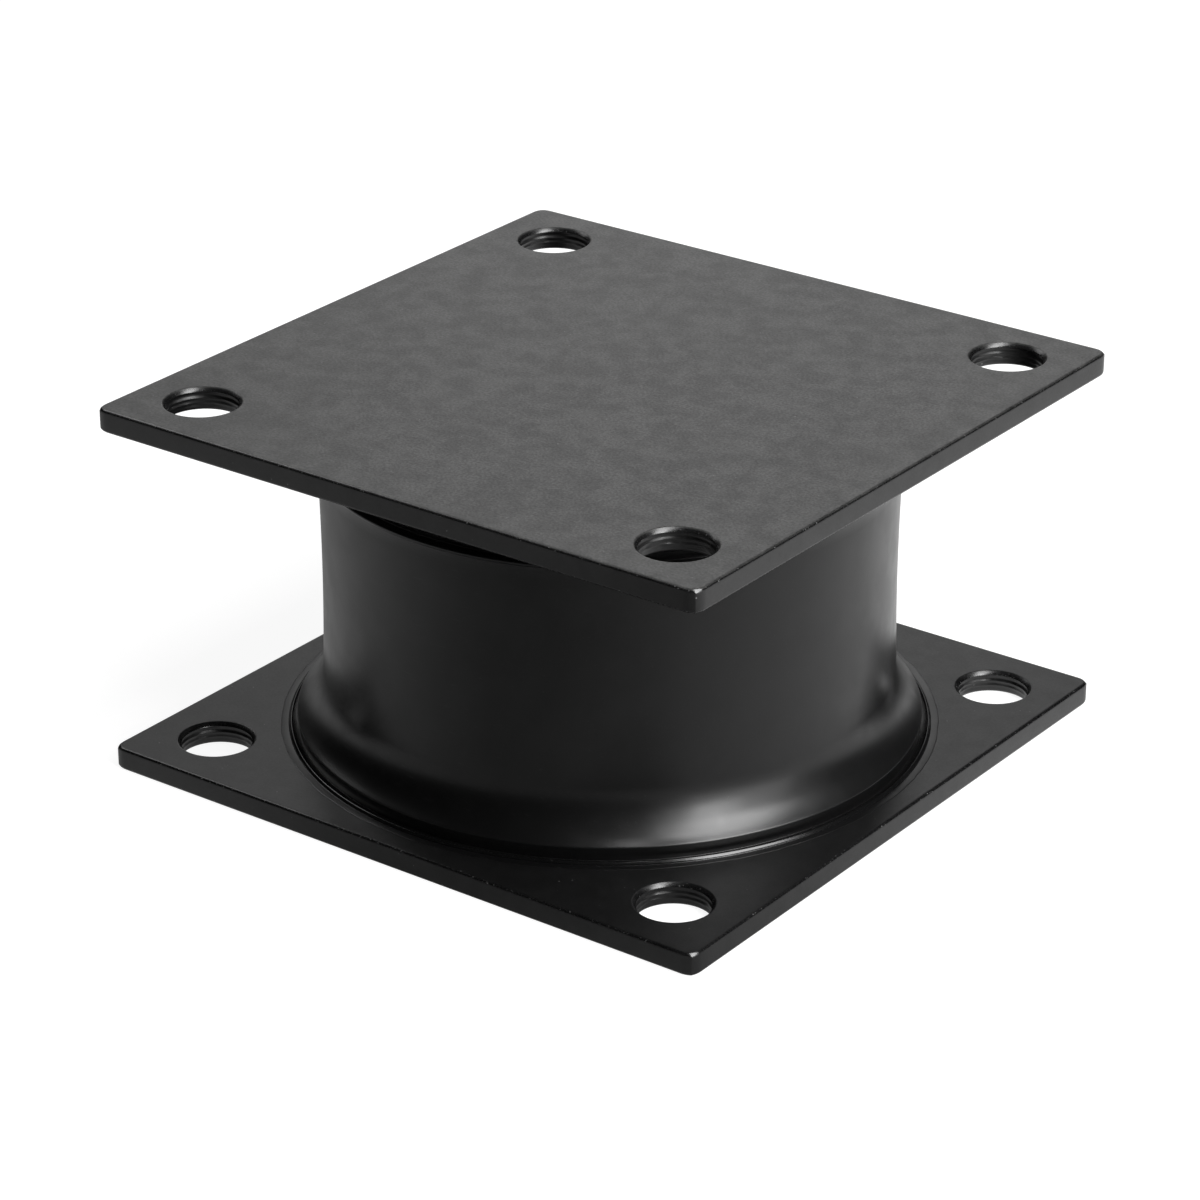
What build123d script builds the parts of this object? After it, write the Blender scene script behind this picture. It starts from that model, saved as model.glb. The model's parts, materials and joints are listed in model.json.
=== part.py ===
from build123d import *
import math
import os

# Rubber anti-vibration mount: two square steel plates with a thick column of rubber moulded and bonded between
# them. One plate is bolted to a machine and the other to its base, and the rubber takes the vibration.
# Sizes are in millimetres. The origin is at the middle of the lower plate's underside, +Z is up, and the plates'
# sides lie along X and Y.

# Overall height, from the lower plate's underside to the upper plate's top.
MOUNT_HEIGHT = 82.0

# Plates, both the same. Their corners are rounded, and the edges of their flats are broken by a small chamfer.
PLATE_SIDE = 150.0
PLATE_THICKNESS = 5.0
PLATE_CORNER_RADIUS = 2.5
PLATE_EDGE_CHAMFER = 0.6

# Bolt holes, one in each corner of each plate. The edge distance runs from a plate's side to the hole's middle.
HOLE_DIAMETER = 15.0
HOLE_EDGE_DISTANCE = 15.5
HOLE_RIM_CHAMFER = 0.7

# Skin of rubber that the mould leaves on each plate, all round the column, with a bevel along its outer edge.
SKIN_TO_PLATE_SIDE = 4.6
SKIN_WIDTH = 2.8
SKIN_THICKNESS = 0.7
SKIN_BEVEL = 0.4

# Lip at each end of the rubber: its wall stands on the skin and leans in a little, up to the rim of the flare.
LIP_HEIGHT = 2.4
LIP_LEAN = 0.8

# Column, seen in section: it bows in at mid-height, then flares out to the rim over the flare's height.
FLARE_REACH = 6.3
FLARE_HEIGHT = 10.8
WAIST_BOW = 0.4

# Radii of the rubber, worked out from the plates inwards.
skin_radius = PLATE_SIDE / 2 - SKIN_TO_PLATE_SIDE
lip_foot_radius = skin_radius - SKIN_WIDTH
rim_radius = lip_foot_radius - LIP_LEAN
waist_radius = rim_radius - FLARE_REACH

# Heights of the rubber's upper half, measured from mid-height, where the section is mirrored.
bond_height = MOUNT_HEIGHT / 2 - PLATE_THICKNESS
skin_height = bond_height - SKIN_THICKNESS
rim_height = skin_height - LIP_HEIGHT
flare_start_height = rim_height - FLARE_HEIGHT

hole_pitch = PLATE_SIDE - 2 * HOLE_EDGE_DISTANCE


def plate(underside):
    """A square plate with rounded corners, four bolt holes and broken edges, standing on the given height."""
    outline = RectangleRounded(PLATE_SIDE, PLATE_SIDE, PLATE_CORNER_RADIUS)
    bolt_holes = GridLocations(hole_pitch, hole_pitch, 2, 2) * Circle(HOLE_DIAMETER / 2)
    blank = extrude(outline - bolt_holes, PLATE_THICKNESS)
    flats = blank.faces().filter_by(Axis.Z)
    blank = chamfer([edge for flat in flats for edge in flat.outer_wire().edges()], PLATE_EDGE_CHAMFER)
    rims = blank.edges().filter_by(GeomType.CIRCLE).filter_by(is_hole_rim)
    return Pos(0, 0, underside) * chamfer(rims, HOLE_RIM_CHAMFER)


def is_hole_rim(edge):
    """Whether an edge is one of the circles where a bolt hole meets a flat of its plate."""
    return edge.is_closed and math.isclose(edge.radius, HOLE_DIAMETER / 2)


def upper_profile(waist):
    """The rubber's outline from the top of the waist to the axis, against the upper plate."""
    rim = (rim_radius, rim_height)
    lip_foot = (lip_foot_radius, skin_height)
    bevel_top = (skin_radius - SKIN_BEVEL, skin_height)
    bevel_foot = (skin_radius, skin_height + SKIN_BEVEL)
    skin_foot = (skin_radius, bond_height)
    flare = TangentArc(waist @ 1, rim, tangent=waist % 1)
    return flare + Polyline(rim, lip_foot, bevel_top, bevel_foot, skin_foot, (0, bond_height))


def rubber_section():
    """Half of the rubber's section, from the axis out, with its mid-height on the X axis."""
    flare_start = (waist_radius + WAIST_BOW, flare_start_height)
    waist = ThreePointArc((flare_start[0], -flare_start[1]), (waist_radius, 0), flare_start)
    upper = upper_profile(waist)
    axis = Line((0, -bond_height), (0, bond_height))
    return make_face((waist + upper + mirror(upper, Plane.XZ) + axis).edges())


def rubber_column():
    """The rubber moulding: the section turned once round the axis, with its mid-height half-way up."""
    upright = Plane.XZ * rubber_section()
    return Pos(0, 0, MOUNT_HEIGHT / 2) * revolve(upright, Axis.Z)


def export_parts():
    """Write each piece of the mount to its own file."""
    pieces = {
        "lower_plate": plate(0),
        "rubber_column": rubber_column(),
        "upper_plate": plate(MOUNT_HEIGHT - PLATE_THICKNESS),
    }
    os.makedirs("parts", exist_ok=True)
    for name, piece in pieces.items():
        piece.label = name
        export_step(piece, f"parts/{name}.step")


export_parts()
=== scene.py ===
"""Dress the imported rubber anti-vibration mount and light it for its picture.

Two black painted steel plates are bonded to a moulded column of rubber. Everything is in metres, in the
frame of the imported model: the origin is at the middle of the lower plate's underside, with +Z up.
"""

from __future__ import annotations

import json
import logging
import math
from dataclasses import dataclass
from enum import Enum
from typing import Any

import bmesh
import bpy
import numpy as np
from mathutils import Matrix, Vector
from mathutils.geometry import delaunay_2d_cdt


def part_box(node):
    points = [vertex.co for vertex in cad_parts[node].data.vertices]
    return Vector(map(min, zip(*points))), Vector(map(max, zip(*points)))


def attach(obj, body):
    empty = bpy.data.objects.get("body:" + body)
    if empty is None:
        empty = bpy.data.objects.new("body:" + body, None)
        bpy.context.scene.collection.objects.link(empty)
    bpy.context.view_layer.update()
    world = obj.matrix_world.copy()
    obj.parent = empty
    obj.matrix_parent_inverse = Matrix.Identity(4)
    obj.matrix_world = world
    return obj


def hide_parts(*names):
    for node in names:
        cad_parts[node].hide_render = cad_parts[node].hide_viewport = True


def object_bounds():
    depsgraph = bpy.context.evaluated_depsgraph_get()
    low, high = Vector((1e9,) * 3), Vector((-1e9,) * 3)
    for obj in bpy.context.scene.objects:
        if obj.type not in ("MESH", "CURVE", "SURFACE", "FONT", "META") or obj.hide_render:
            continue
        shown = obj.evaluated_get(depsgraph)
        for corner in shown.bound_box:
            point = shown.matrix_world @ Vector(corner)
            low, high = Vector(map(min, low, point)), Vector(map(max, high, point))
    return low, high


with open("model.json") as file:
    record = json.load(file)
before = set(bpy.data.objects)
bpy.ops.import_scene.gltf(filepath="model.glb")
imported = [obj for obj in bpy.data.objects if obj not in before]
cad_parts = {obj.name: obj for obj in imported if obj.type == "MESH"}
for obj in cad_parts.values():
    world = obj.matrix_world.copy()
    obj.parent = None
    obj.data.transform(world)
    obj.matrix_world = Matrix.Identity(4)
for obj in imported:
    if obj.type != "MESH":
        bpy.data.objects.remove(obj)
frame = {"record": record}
cad_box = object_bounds()

log = logging.getLogger("mount")

MM = 0.001
ONLY_BODY = "root"

# Points closer together than this become one.
MERGE_DISTANCE = 0.003 * MM
# How exactly the fill between a plate's outline and its bolt holes keeps to them.
FILL_TOLERANCE = 1e-7
# A vector multiplied by this keeps only its level part.
LEVEL = (1.0, 1.0, 0.0)

# Noise lies mostly between these, which are stretched over 0 to 1.
NOISE_LOW, NOISE_HIGH = 0.3, 0.7

# Tears in a punched wall: how they are squeezed along Z, how many there are to a metre, and the noise that
# leaves no tear and the noise that leaves the deepest.
TEAR_STRETCH = (1.0, 1.0, 2.5)
TEARS_PER_METRE = 280.0
TEAR_THRESHOLD = (0.4, 0.7)

# Where the tears reach their full depth below the upper rim and above the lower one, and where the upper
# rim's band of rubbed paint and painted glints is full and where it starts to fade, all in shares of the
# rim's height.
TORN_BELOW, TORN_ABOVE = 1.6, 1.4
RUB_GLINT_FROM, RUB_GLINT_TO = 0.1, 0.7

# How far from its middle the rubber's ridge stops being burnished, in shares of half its width.
BURNISHED_REACH = 1.3
# The noise that leaves the edge of the rubber's skin whole and the noise that frays it most.
FRAY_THRESHOLD = (0.35, 0.75)

Colour = tuple[float, float, float]
Point2 = tuple[float, float]

# A bolt hole's upper rim in section, from the flat down to the wall. Each point is a share of the rim's
# radius outwards and one downwards.
HOLE_RIM: tuple[Point2, ...] = ((1.0, 0.0), (0.9, 0.05), (0.15, 0.82), (0.0, 1.0), (0.0, 1.12))

# A bolt hole's torn wall in section. Each point is a share of the way down and one of the tear's depth.
TORN_WALL: tuple[Point2, ...] = (
    (0.06, 0.7), (0.14, 1.0), (0.3, 0.9), (0.38, 0.1), (0.44, 0.0), (0.5, 0.5),
    (0.62, 0.6), (0.7, 0.15), (0.76, 0.2), (0.84, 0.7), (0.94, 0.8),
)


class Slot(Enum):
    """The record's material slots."""

    PAINT = "plate_paint"
    RUBBER = "rubber"


class PlateNode(Enum):
    """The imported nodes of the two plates."""

    LOWER = "lower_plate"
    UPPER = "upper_plate"


class SocketKind(Enum):
    """Kinds of socket that the groups and trees here use."""

    NUMBER = "NodeSocketFloat"
    COUNT = "NodeSocketInt"
    VECTOR = "NodeSocketVector"
    OBJECT = "NodeSocketObject"
    MATERIAL = "NodeSocketMaterial"
    GEOMETRY = "NodeSocketGeometry"


class NodeDesk:
    """A node tree with short calls that add nodes, fill their inputs and link them."""

    def __init__(self, tree: bpy.types.NodeTree) -> None:
        """Take over a tree, emptied of the nodes it starts with."""
        self.tree = tree
        tree.nodes.clear()

    def feed(self, socket: bpy.types.NodeSocket, value: Any) -> None:
        """Link an output socket into an input, or set anything else on it as a constant."""
        if isinstance(value, bpy.types.NodeSocket):
            self.tree.links.new(value, socket)
        else:
            socket.default_value = value

    def add(self, kind: str, inputs: dict[Any, Any] | None = None, **settings: Any) -> bpy.types.Node:
        """Add a node.

        Args:
            kind: The node's type name.
            inputs: What goes into each input, by the input's name or place.
            settings: Values for the node's own properties.

        Returns:
            The new node.
        """
        node = self.tree.nodes.new(kind)
        for name, value in settings.items():
            setattr(node, name, value)
        for place, value in (inputs or {}).items():
            self.feed(node.inputs[place], value)
        return node

    def math(self, operation: str, *values: Any) -> bpy.types.NodeSocket:
        """Add a Math node on the given values and return its result."""
        return self.add("ShaderNodeMath", dict(enumerate(values)), operation=operation).outputs[0]

    def product(self, first: Any, *others: Any) -> bpy.types.NodeSocket:
        """Multiply two or more numbers."""
        for other in others:
            first = self.math("MULTIPLY", first, other)
        return first

    def vector(self, operation: str, *vectors: Any, scale: Any = None) -> bpy.types.NodeSocket:
        """Add a Vector Math node.

        Args:
            operation: What it does.
            vectors: The vectors that it works on.
            scale: What the vector is multiplied by, for the operation SCALE.

        Returns:
            Its result, which is a number for LENGTH and DOT_PRODUCT.
        """
        inputs = dict(enumerate(vectors))
        if scale is not None:
            inputs["Scale"] = scale
        node = self.add("ShaderNodeVectorMath", inputs, operation=operation)
        return node.outputs["Value"] if operation in ("LENGTH", "DOT_PRODUCT") else node.outputs[0]

    def level(self, place: Any) -> bpy.types.NodeSocket:
        """The level part of a vector."""
        return self.vector("MULTIPLY", place, LEVEL)

    def rise(self, place: Any) -> bpy.types.NodeSocket:
        """The upright part of a vector, as a number."""
        return self.add("ShaderNodeSeparateXYZ", {0: place}).outputs["Z"]

    def ramp(
        self, value: Any, low: Any, high: Any, start: Any = 0.0, end: Any = 1.0
    ) -> bpy.types.NodeSocket:
        """Turn a value that goes from low to high into one that goes smoothly from start to end."""
        inputs = {"Value": value, "From Min": low, "From Max": high, "To Min": start, "To Max": end}
        return self.add("ShaderNodeMapRange", inputs, interpolation_type="SMOOTHSTEP").outputs["Result"]

    def sway(self, value: Any, low: Any, high: Any, middle: float, reach: float) -> bpy.types.NodeSocket:
        """Turn a value from low to high into one that falls through a middle, by a reach each way."""
        return self.ramp(value, low, high, middle + reach, middle - reach)

    def mix(self, share: Any, first: Any, second: Any) -> bpy.types.NodeSocket:
        """Mix two colours, with a share of 0 for the first and 1 for the second."""
        first, second = (
            value if isinstance(value, bpy.types.NodeSocket) else (*value, 1.0)
            for value in (first, second)
        )
        return self.add("ShaderNodeMix", {0: share, 6: first, 7: second}, data_type="RGBA").outputs[2]

    def noise(
        self, place: Any, grain: Any, detail: float = 2.0, rough: float = 0.5
    ) -> bpy.types.NodeSocket:
        """Noise whose cloudy patches are about as large as the grain, which is a length in metres."""
        scale = self.math("DIVIDE", 1.0, grain)
        inputs = {"Vector": place, "Scale": scale, "Detail": detail, "Roughness": rough}
        return self.add("ShaderNodeTexNoise", inputs).outputs["Fac"]

    def seeded_noise(
        self, place: Any, seed: Any, scale: Any, detail: float = 2.0, rough: float = 0.5
    ) -> bpy.types.NodeSocket:
        """Noise that differs with its seed. The scale is the number of patches to a metre."""
        inputs = {"Vector": place, "W": seed, "Scale": scale, "Detail": detail, "Roughness": rough}
        return self.add("ShaderNodeTexNoise", inputs, noise_dimensions="4D").outputs["Fac"]

    def bump(self, height: Any, depth: float, below: Any = None) -> bpy.types.NodeSocket:
        """Turn a height from 0 to 1 into a normal, on top of the bumps below where these are given."""
        inputs = {"Height": height, "Distance": depth}
        if below is not None:
            inputs["Normal"] = below
        return self.add("ShaderNodeBump", inputs).outputs[0]

    def surface(self, colour: Any, roughness: Any, specular_level: float, normal: Any) -> None:
        """End a material with its Principled surface.

        Args:
            colour: The base colour.
            roughness: The roughness.
            specular_level: The strength of the shine, the same all over.
            normal: The bumped normal.
        """
        inputs = {"Base Color": colour, "Roughness": roughness, "Normal": normal}
        skin = self.add("ShaderNodeBsdfPrincipled", {**inputs, "Specular IOR Level": specular_level})
        self.add("ShaderNodeOutputMaterial", {"Surface": skin.outputs[0]})

    def store(self, geometry: Any, name: str, value: Any, kind: str = "FLOAT") -> bpy.types.NodeSocket:
        """Store a value at each point of a geometry, under a name, and return the geometry."""
        inputs = {"Geometry": geometry, "Name": name, "Value": value}
        return self.add("GeometryNodeStoreNamedAttribute", inputs, data_type=kind).outputs[0]

    def recall(self, name: str, kind: str = "FLOAT") -> bpy.types.NodeSocket:
        """The value that each point holds under a name."""
        return self.add("GeometryNodeInputNamedAttribute", {"Name": name}, data_type=kind).outputs[0]

    def move(self, geometry: Any, offset: Any) -> bpy.types.NodeSocket:
        """Move each point of a geometry by its own offset."""
        return self.add("GeometryNodeSetPosition", {"Geometry": geometry, "Offset": offset}).outputs[0]

    def merge(self, geometry: Any) -> bpy.types.NodeSocket:
        """Merge the points that lie on each other."""
        inputs = {"Geometry": geometry, "Distance": MERGE_DISTANCE}
        return self.add("GeometryNodeMergeByDistance", inputs).outputs[0]

    def sweep(self, section: Any, steps: Any, radius: Any) -> bpy.types.NodeSocket:
        """Sweep a section's curve round a level circle of the given radius and number of steps."""
        profile = self.add("GeometryNodeObjectInfo", {"Object": section}).outputs["Geometry"]
        circle = self.add("GeometryNodeCurvePrimitiveCircle", {"Resolution": steps, "Radius": radius})
        inputs = {"Curve": circle.outputs["Curve"], "Profile Curve": profile}
        return self.add("GeometryNodeCurveToMesh", inputs).outputs["Mesh"]

    def put_out(self, geometry: Any, material: Any, result: bpy.types.NodeInputs) -> None:
        """End a tree: make its instances real, set the material and hand the geometry to the output."""
        geometry = self.add("GeometryNodeRealizeInstances", {"Geometry": geometry}).outputs[0]
        inputs = {"Geometry": geometry, "Material": material}
        self.feed(result[0], self.add("GeometryNodeSetMaterial", inputs).outputs[0])


def open_group(
    name: str,
    tree_type: str,
    inputs: dict[str, tuple[SocketKind, Any]],
    outputs: dict[str, SocketKind],
) -> tuple[NodeDesk, bpy.types.NodeOutputs, bpy.types.NodeInputs]:
    """Start a node group with named inputs and outputs.

    Args:
        name: The group's name.
        tree_type: ShaderNodeTree or GeometryNodeTree.
        inputs: Each input's kind and default, by name. A default of None leaves the socket as it comes.
        outputs: Each output's kind, by name.

    Returns:
        The group's desk, the values that it is given, and the sockets for its results.
    """
    tree = bpy.data.node_groups.new(name, tree_type)
    for label, (kind, default) in inputs.items():
        socket = tree.interface.new_socket(name=label, in_out="INPUT", socket_type=kind.value)
        if default is not None:
            socket.default_value = default
    for label, kind in outputs.items():
        tree.interface.new_socket(name=label, in_out="OUTPUT", socket_type=kind.value)
    desk = NodeDesk(tree)
    return desk, desk.add("NodeGroupInput").outputs, desk.add("NodeGroupOutput").inputs


def make_cloud_group() -> bpy.types.NodeTree:
    """Soft cloudy patches, as on painted rolled steel or moulded rubber. The output averages a half."""
    desk, given, result = open_group(
        "soft_clouds",
        "ShaderNodeTree",
        {"Vector": (SocketKind.VECTOR, None), "Patch Size": (SocketKind.NUMBER, 6 * MM)},
        {"Clouds": SocketKind.NUMBER},
    )
    wide = desk.noise(given["Vector"], given["Patch Size"], detail=3.0, rough=0.55)
    desk.feed(result["Clouds"], desk.ramp(wide, NOISE_LOW, NOISE_HIGH))
    return desk.tree


def make_speck_group() -> bpy.types.NodeTree:
    """Small separate specks, such as dust nibs in paint or bloom on rubber, as a mask."""
    desk, given, result = open_group(
        "fine_specks",
        "ShaderNodeTree",
        {
            "Vector": (SocketKind.VECTOR, None),
            "Spacing": (SocketKind.NUMBER, 1.4 * MM),
            "Speck Size": (SocketKind.NUMBER, 0.12 * MM),
            "Share": (SocketKind.NUMBER, 0.3),
        },
        {"Specks": SocketKind.NUMBER},
    )
    scale = desk.math("DIVIDE", 1.0, given["Spacing"])
    cells = desk.add("ShaderNodeTexVoronoi", {"Vector": given["Vector"], "Scale": scale})
    draw = desk.add("ShaderNodeSeparateColor", {"Color": cells.outputs["Color"]})
    # The smallest speck as a share of the speck size, and the share of each speck that is solid.
    smallest, solid = 0.4, 0.35
    reach = desk.math("DIVIDE", given["Speck Size"], given["Spacing"])
    reach = desk.product(reach, desk.math("ADD", smallest, draw.outputs["Green"]))
    near = desk.ramp(cells.outputs["Distance"], desk.product(reach, solid), reach, 1.0, 0.0)
    chosen = desk.math("LESS_THAN", draw.outputs["Red"], given["Share"])
    desk.feed(result["Specks"], desk.product(near, chosen))
    return desk.tree


def make_scratch_group() -> bpy.types.NodeTree:
    """Short faint scratches and flow lines, as a mask. They run along the vector's X axis."""
    desk, given, result = open_group(
        "faint_scratches",
        "ShaderNodeTree",
        {
            "Vector": (SocketKind.VECTOR, None),
            "Length": (SocketKind.NUMBER, 12 * MM),
            "Width": (SocketKind.NUMBER, 0.25 * MM),
            "Share": (SocketKind.NUMBER, 0.1),
        },
        {"Scratches": SocketKind.NUMBER},
    )
    along = desk.math("DIVIDE", 1.0, given["Length"])
    across = desk.math("DIVIDE", 1.0, given["Width"])
    stretch = desk.add("ShaderNodeCombineXYZ", {"X": along, "Y": across, "Z": across}).outputs[0]
    warp = desk.vector("MULTIPLY", given["Vector"], stretch)
    lines = desk.add("ShaderNodeTexNoise", {"Vector": warp, "Scale": 1.0, "Detail": 1.0}).outputs["Fac"]
    # The noise that a scratch has to pass falls as the share rises.
    rarest, drop, softness = 0.8, 1.2, 0.08
    low = desk.math("SUBTRACT", rarest, desk.product(given["Share"], drop))
    desk.feed(result["Scratches"], desk.ramp(lines, low, desk.math("ADD", low, softness)))
    return desk.tree


class Effects:
    """The shader groups that the finishes are made with, each built once."""

    def __init__(self) -> None:
        """Build the groups."""
        self.clouds = make_cloud_group()
        self.specks = make_speck_group()
        self.scratches = make_scratch_group()


def start_material(name: str) -> tuple[bpy.types.Material, NodeDesk, bpy.types.NodeSocket]:
    """Start a node material.

    Args:
        name: The material's name.

    Returns:
        The material, its desk, and the Object coordinates to lay patterns on.
    """
    material = bpy.data.materials.new(name)
    material.use_nodes = True
    desk = NodeDesk(material.node_tree)
    return material, desk, desk.add("ShaderNodeTexCoord").outputs["Object"]


def use_group(desk: NodeDesk, group: bpy.types.NodeTree, values: dict[str, Any]) -> bpy.types.NodeSocket:
    """Place a shader group in a material with its own values and return its output."""
    node = desk.add("ShaderNodeGroup", node_tree=group)
    for name, value in values.items():
        desk.feed(node.inputs[name], value)
    return node.outputs[0]


@dataclass(frozen=True)
class SatinPaint:
    """Satin black paint on rolled steel, a little cloudy and stippled, with nibs, and rubbed edges that
    carry painted glints.

    A paler, grainy layer on what stands above the top light height, which is the upper plate's top, is
    painted light that the top catches from above, laid on like fine dust.
    """

    colour: Colour = (0.0025, 0.0025, 0.0026)
    cloud_colour: Colour = (0.005, 0.005, 0.0051)
    nib_colour: Colour = (0.11, 0.11, 0.11)
    rub_and_glint_colour: Colour = (0.12, 0.12, 0.12)
    top_light_colour: Colour = (0.046, 0.046, 0.045)
    top_light_height: float = 81.7 * MM
    top_light_fade: float = 0.25 * MM
    top_light_least: float = 0.7
    top_light_cloud: float = 0.6
    top_light_threshold: tuple[float, float] = (0.05, 0.95)
    specular_level: float = 0.56
    roughness: float = 0.38
    edge_polish: float = 0.13
    cloud_roughness: float = 0.01
    cloud_size: float = 5 * MM
    grain_size: float = 0.55 * MM
    grain_roughness: float = 0.03
    grit_size: float = 0.5 * MM
    rub_and_glint_threshold: tuple[float, float] = (0.62, 0.74)
    stipple_size: float = 0.5 * MM
    stipple_depth: float = 0.008 * MM
    nib_spacing: float = 2.0 * MM
    nib_size: float = 0.17 * MM
    nib_share: float = 0.3
    nib_height: float = 0.01 * MM

    def top_light(self, desk: NodeDesk, place: Any, grain: Any, clouds: Any) -> bpy.types.NodeSocket:
        """How strongly the painted light on the top shows, which varies with the grain and the clouds."""
        # Painted light: only the upper plate's top, above this height, gets the paler layer.
        exposed = desk.ramp(desk.rise(place), self.top_light_height, self.top_light_height + self.top_light_fade)
        patchy = desk.math("ADD", self.top_light_least, desk.product(clouds, self.top_light_cloud))
        return desk.product(exposed, desk.product(desk.ramp(grain, *self.top_light_threshold), patchy))

    def material(self, effects: Effects) -> bpy.types.Material:
        """Build the paint's material."""
        material, desk, place = start_material("satin_black_paint")
        clouds = use_group(desk, effects.clouds, {"Vector": place, "Patch Size": self.cloud_size})
        nib_values = {"Spacing": self.nib_spacing, "Speck Size": self.nib_size, "Share": self.nib_share}
        nibs = use_group(desk, effects.specks, {"Vector": place, **nib_values})
        rounding = desk.add("ShaderNodeAttribute", attribute_name="rounding").outputs["Fac"]
        grit = desk.noise(place, self.grit_size, detail=3.0, rough=0.6)
        # Lighter paint on rounded edges, hole rims and corner facets: rubbed wear and painted glints.
        rubbed_and_glinting = desk.product(rounding, desk.ramp(grit, *self.rub_and_glint_threshold))
        grain = desk.noise(place, self.grain_size, detail=2.0, rough=0.6)
        colour = desk.mix(clouds, self.colour, self.cloud_colour)
        # Painted light on the upper plate's top, as a paler grainy layer.
        colour = desk.mix(self.top_light(desk, place, grain, clouds), colour, self.top_light_colour)
        colour = desk.mix(nibs, colour, self.nib_colour)
        colour = desk.mix(rubbed_and_glinting, colour, self.rub_and_glint_colour)
        spread = desk.sway(clouds, 0.0, 1.0, self.roughness, self.cloud_roughness)
        grainy = desk.sway(grain, NOISE_LOW, NOISE_HIGH, 0.0, self.grain_roughness)
        spread = desk.math("ADD", spread, grainy)
        spread = desk.math("SUBTRACT", spread, desk.product(rounding, self.edge_polish))
        stipple = desk.noise(place, self.stipple_size, detail=3.0, rough=0.6)
        bumps = desk.bump(nibs, self.nib_height, desk.bump(stipple, self.stipple_depth))
        desk.surface(colour, spread, self.specular_level, bumps)
        return material


@dataclass(frozen=True)
class MouldedRubber:
    """Smooth black rubber straight from its mould, with flow marks, a few scuffs and a shinier ridge."""

    colour: Colour = (0.0025, 0.0025, 0.0026)
    cloud_colour: Colour = (0.004, 0.004, 0.0041)
    scuff_colour: Colour = (0.016, 0.016, 0.016)
    specular_level: float = 0.5
    roughness: float = 0.305
    ridge_polish: float = 0.13
    cloud_roughness: float = 0.022
    cloud_size: float = 8 * MM
    bloom_spacing: float = 2.2 * MM
    bloom_size: float = 0.16 * MM
    bloom_share: float = 0.2
    scuff_length: float = 9 * MM
    scuff_width: float = 0.35 * MM
    scuff_share: float = 0.1
    scuff_strength: float = 0.5
    wave_size: float = 14 * MM
    wave_depth: float = 0.06 * MM
    grain_size: float = 0.45 * MM
    grain_depth: float = 0.005 * MM

    def marks(self, desk: NodeDesk, place: Any, effects: Effects) -> bpy.types.NodeSocket:
        """Specks of bloom and faint scuffs, as a mask."""
        bloom_values = {"Vector": place, "Spacing": self.bloom_spacing, "Speck Size": self.bloom_size}
        bloom = use_group(desk, effects.specks, {**bloom_values, "Share": self.bloom_share})
        scuff_values = {"Length": self.scuff_length, "Width": self.scuff_width, "Share": self.scuff_share}
        scuffs = use_group(desk, effects.scratches, {"Vector": place, **scuff_values})
        return desk.math("MAXIMUM", desk.product(scuffs, self.scuff_strength), bloom)

    def material(self, effects: Effects) -> bpy.types.Material:
        """Build the rubber's material."""
        material, desk, place = start_material("moulded_rubber")
        clouds = use_group(desk, effects.clouds, {"Vector": place, "Patch Size": self.cloud_size})
        colour = desk.mix(clouds, self.colour, self.cloud_colour)
        colour = desk.mix(self.marks(desk, place, effects), colour, self.scuff_colour)
        burnished = desk.add("ShaderNodeAttribute", attribute_name="burnished").outputs["Fac"]
        spread = desk.sway(clouds, 0.0, 1.0, self.roughness, self.cloud_roughness)
        spread = desk.math("SUBTRACT", spread, desk.product(burnished, self.ridge_polish))
        waves = desk.noise(place, self.wave_size, detail=1.0)
        grain = desk.noise(place, self.grain_size, detail=2.0)
        bumps = desk.bump(grain, self.grain_depth, desk.bump(waves, self.wave_depth))
        desk.surface(colour, spread, self.specular_level, bumps)
        return material


def evaluated_mesh(piece: bpy.types.Object) -> bpy.types.Mesh:
    """The mesh that a piece has with its modifiers applied."""
    graph = bpy.context.evaluated_depsgraph_get()
    return bpy.data.meshes.new_from_object(piece.evaluated_get(graph), depsgraph=graph)


def link(name: str, data: Any) -> bpy.types.Object:
    """Put a mesh, curve, lamp or camera in the scene as a named object."""
    piece = bpy.data.objects.new(name, data)
    bpy.context.scene.collection.objects.link(piece)
    return piece


def section_curve(name: str, outline: list[Point2], path_radius: float) -> bpy.types.Object:
    """A section to be swept round a circle, as a curve.

    Args:
        name: The curve's name.
        outline: The section's points, each a radius and a height.
        path_radius: The radius of the circle that the section follows.

    Returns:
        The curve's object. Its X axis points away from the circle's middle, and its Y axis points down.
    """
    curve = bpy.data.curves.new(name, "CURVE")
    curve.dimensions = "3D"
    line = curve.splines.new("POLY")
    line.points.add(len(outline) - 1)
    for point, (radius, height) in zip(line.points, outline):
        point.co = (radius - path_radius, -height, 0.0, 1.0)
    return link(name, curve)


def run_tree(piece: bpy.types.Object, tree: bpy.types.NodeTree, values: dict[str, Any]) -> None:
    """Run a Geometry Nodes tree on a piece and keep its result as the piece's plain, closed mesh.

    Args:
        piece: The object that the tree works on.
        tree: The tree to run.
        values: The tree's inputs, by name. The objects among them are deleted after the run.
    """
    modifier = piece.modifiers.new(tree.name, "NODES")
    modifier.node_group = tree
    for socket in tree.interface.items_tree:
        if socket.in_out == "INPUT" and socket.name in values:
            modifier[socket.identifier] = values[socket.name]
    finished = evaluated_mesh(piece)
    piece.modifiers.clear()
    piece.data = finished
    close_and_smooth(finished)
    for value in values.values():
        if isinstance(value, bpy.types.Object):
            bpy.data.objects.remove(value)


def close_and_smooth(mesh: bpy.types.Mesh) -> None:
    """Turn every face outwards and shade the mesh smoothly."""
    work = bmesh.new()
    work.from_mesh(mesh)
    bmesh.ops.recalc_face_normals(work, faces=work.faces)
    work.to_mesh(mesh)
    work.free()
    mesh.shade_smooth()


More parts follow.
